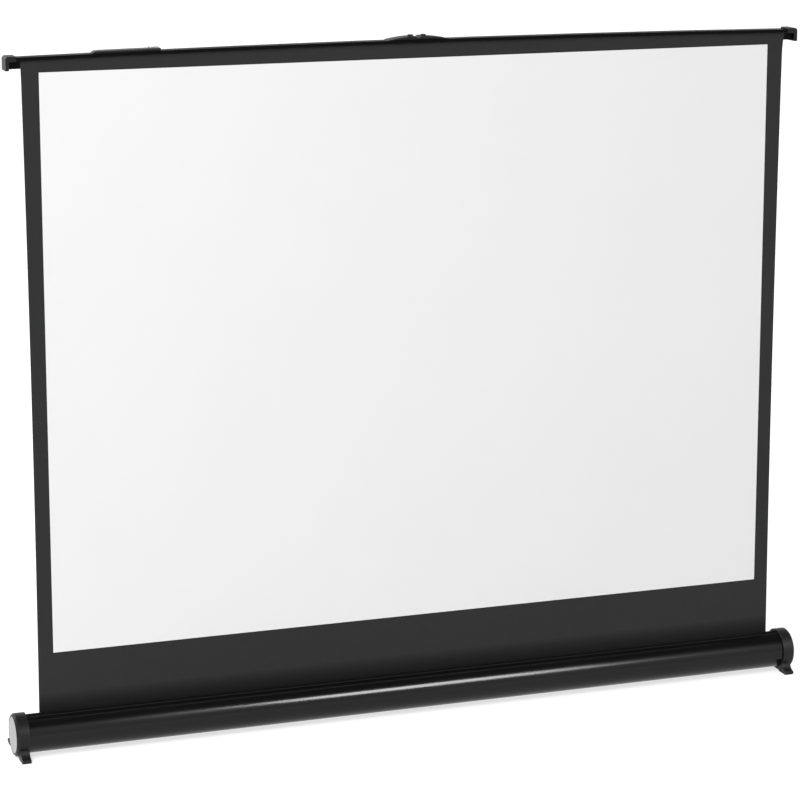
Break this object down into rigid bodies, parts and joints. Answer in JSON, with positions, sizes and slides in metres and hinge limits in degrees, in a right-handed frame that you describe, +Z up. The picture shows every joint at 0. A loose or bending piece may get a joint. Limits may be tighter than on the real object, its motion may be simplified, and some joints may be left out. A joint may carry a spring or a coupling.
{
  "type": "table-top projection screen",
  "caption": "Portable table-top projection screen: a round roller case with splayed feet, a black-bordered white screen, a bowed top bar and a folding stay behind.",
  "frame": {"origin": "on the table, in the middle of the footprint of the feet", "axes": "+Z up; +X along the case, to the viewer's right; the viewing surface faces -Y"},
  "size_m": [1.128, 0.095, 0.9308],
  "materials": {
    "black_gloss": "gloss black anodised extrusion",
    "black_strip": "matte strip",
    "black_plastic": "fine moulded texture",
    "pale_disc": "satin",
    "rubber": "matte",
    "bare_aluminium": "drawn",
    "white_plastic": "smooth",
    "zinc_steel": "zinc plated",
    "spring_steel": "oiled",
    "black_fabric": "coated matte black cloth",
    "white_surface": "matte white projection coating",
    "black_paint": "semi-matte powder coat",
    "black_bar": "satin black anodised extrusion",
    "black_screw": "black oxide"
  },
  "bodies": {
    "case": {"case_tube": "black_gloss", "slot_lip_front": "black_strip", "slot_lip_rear": "black_strip", "end_cap_left": "black_plastic", "end_cap_right": "black_plastic", "end_disc_left": "pale_disc", "end_disc_right": "pale_disc", "foot_pads": "rubber", "spring_arbor": "zinc_steel", "idle_bush": "white_plastic", "stay_base_bracket": "black_paint", "base_rivets": "zinc_steel", "base_stud": "zinc_steel", "base_washers": "white_plastic", "screen_fabric": "black_fabric", "viewing_surface": "white_surface"},
    "roller": {"roller_tube": "bare_aluminium", "roller_plug_left": "white_plastic", "roller_plug_right": "white_plastic", "torsion_spring": "spring_steel", "idle_gudgeon": "zinc_steel", "fabric_winding": "black_fabric"},
    "stay_lower": {"lower_arm": "black_paint", "knee_pin": "zinc_steel", "knee_washers": "white_plastic", "base_spacer": "white_plastic"},
    "stay_upper": {"upper_arm": "black_paint", "knee_spacer": "white_plastic", "top_spacer": "white_plastic"},
    "bar": {"top_bar": "black_bar", "fabric_rod": "white_plastic", "bar_cap_left": "black_plastic", "bar_cap_right": "black_plastic", "stay_top_bracket": "black_plastic", "bracket_screws": "black_screw", "top_stud": "zinc_steel", "top_washers": "white_plastic", "arm_clip": "black_paint", "clip_rivets": "zinc_steel"}
  },
  "joints": [
    {"name": "stay_fold", "type": "hinge", "parent": "case", "child": "stay_lower", "pos_m": [0, 0.0264, 0.034], "axis": [0, -1, 0], "range_deg": [0, 90], "deforming": ["screen_fabric", "viewing_surface"]},
    {"name": "knee_fold", "type": "hinge", "parent": "stay_lower", "child": "stay_upper", "pos_m": [0.01925, 0.0264, 0.475], "axis": [0, -1, 0], "range_deg": [-180, 0]},
    {"name": "bar_pivot", "type": "hinge", "parent": "stay_upper", "child": "bar", "pos_m": [0, 0.0264, 0.916], "axis": [0, -1, 0], "range_deg": [0, 90]},
    {"name": "roller_turn", "type": "hinge", "parent": "case", "child": "roller", "pos_m": [0, -0.00505, 0.03], "axis": [1, 0, 0], "range_deg": [0, 3777]}
  ],
  "couplings": [
    {"joint": "knee_fold", "follows": "stay_fold", "ratio": -2},
    {"joint": "bar_pivot", "follows": "stay_fold", "ratio": 1},
    {"joint": "roller_turn", "follows": "stay_fold", "ratio": 41.952}
  ]
}
